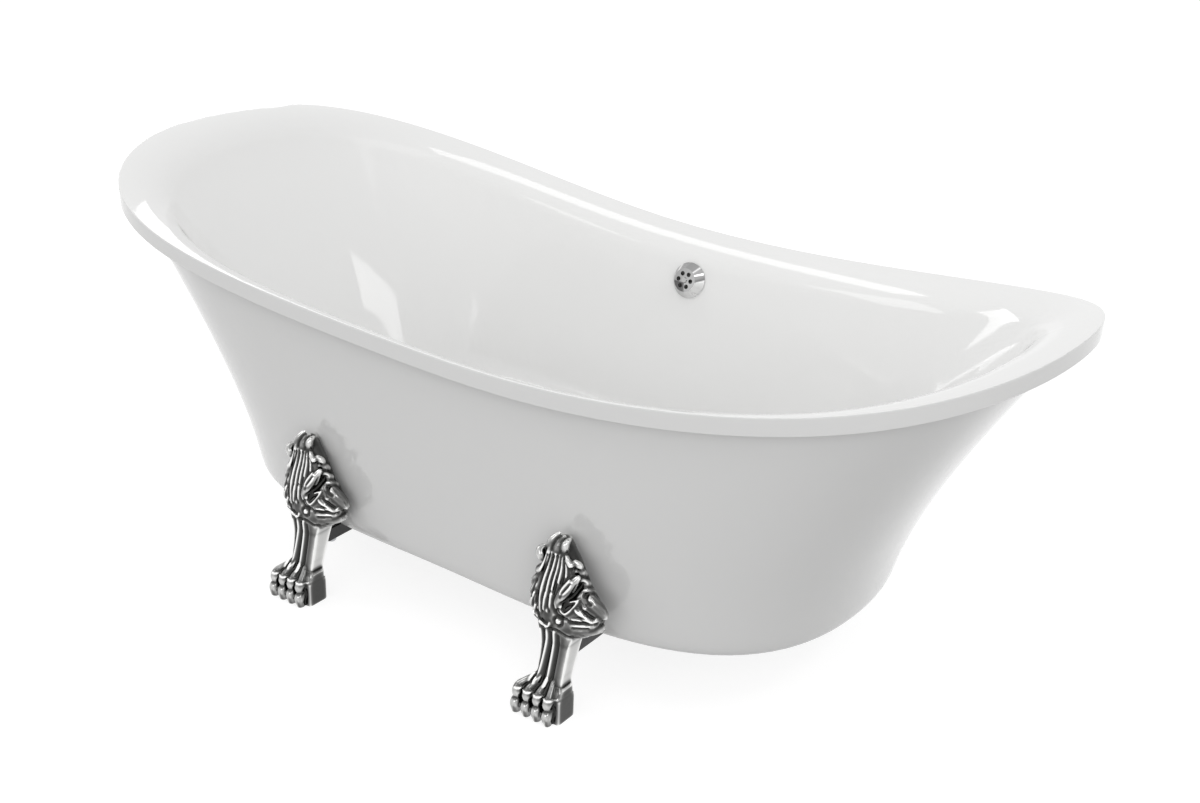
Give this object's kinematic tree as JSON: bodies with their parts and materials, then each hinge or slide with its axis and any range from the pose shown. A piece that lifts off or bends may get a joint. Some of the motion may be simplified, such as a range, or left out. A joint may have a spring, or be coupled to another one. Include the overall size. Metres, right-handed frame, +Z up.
{
  "type": "clawfoot bathtub",
  "caption": "Free-standing double-ended slipper bath in white acrylic: both ends rise above the middle, a flat band runs round the rim, and it stands on chrome lion-paw feet with leaf tops.",
  "frame": {"origin": "on the floor, under the middle of the bath", "axes": "+X along the bath to its right-hand end, +Y away from the near long side to the side with the overflow, +Z up"},
  "size_m": [1.7, 0.8452, 0.6416],
  "materials": {
    "white_acrylic": "white gloss moulded acrylic",
    "plywood": "plain plywood board",
    "softwood": "sawn softwood",
    "zinc_steel": "bright zinc-plated steel",
    "chrome_casting": "polished chrome on a metal casting",
    "chrome": "polished chrome on brass",
    "brass": "plain machined brass",
    "black_steel": "black painted folded steel",
    "white_plastic": "white pipe plastic",
    "black_rubber": "black rubber"
  },
  "bodies": {
    "tub": {"basin_shell": "white_acrylic", "outer_shell": "white_acrylic", "base_board": "plywood", "batten_left": "softwood", "batten_right": "softwood", "board_screws": "zinc_steel", "bracket_screws": "zinc_steel", "foot_studs": "zinc_steel", "foot_washers": "zinc_steel", "foot_nuts": "zinc_steel", "waste_flange": "chrome", "waste_seal_top": "black_rubber", "waste_strainer": "brass", "waste_seal_bottom": "black_rubber", "waste_nut": "white_plastic", "waste_tee": "white_plastic", "tail_nut": "white_plastic", "waste_tailpiece": "white_plastic", "overflow_rose": "chrome", "overflow_screw": "chrome", "overflow_gasket": "black_rubber", "overflow_seal": "black_rubber", "overflow_body": "white_plastic", "overflow_pipe": "white_plastic", "foot_front_left": "chrome_casting", "bracket_front_left": "black_steel", "foot_front_right": "chrome_casting", "bracket_front_right": "black_steel", "foot_back_left": "chrome_casting", "bracket_back_left": "black_steel", "foot_back_right": "chrome_casting", "bracket_back_right": "black_steel"},
    "plug": {"plug_cap": "chrome", "plug_seal": "black_rubber", "plug_stem": "brass"},
    "leveller_front_left": {"leveller_front_left": "zinc_steel"},
    "leveller_front_right": {"leveller_front_right": "zinc_steel"},
    "leveller_back_left": {"leveller_back_left": "zinc_steel"},
    "leveller_back_right": {"leveller_back_right": "zinc_steel"}
  },
  "joints": [
    {"name": "plug_push", "type": "slide", "parent": "tub", "child": "plug", "axis": [0, 0, -1], "range_m": [0, 0.008]},
    {"name": "leveller_front_left_screw", "type": "slide", "parent": "tub", "child": "leveller_front_left", "axis": [0, 0, -1], "range_m": [0, 0.01]},
    {"name": "leveller_front_right_screw", "type": "slide", "parent": "tub", "child": "leveller_front_right", "axis": [0, 0, -1], "range_m": [0, 0.01]},
    {"name": "leveller_back_left_screw", "type": "slide", "parent": "tub", "child": "leveller_back_left", "axis": [0, 0, -1], "range_m": [0, 0.01]},
    {"name": "leveller_back_right_screw", "type": "slide", "parent": "tub", "child": "leveller_back_right", "axis": [0, 0, -1], "range_m": [0, 0.01]}
  ]
}
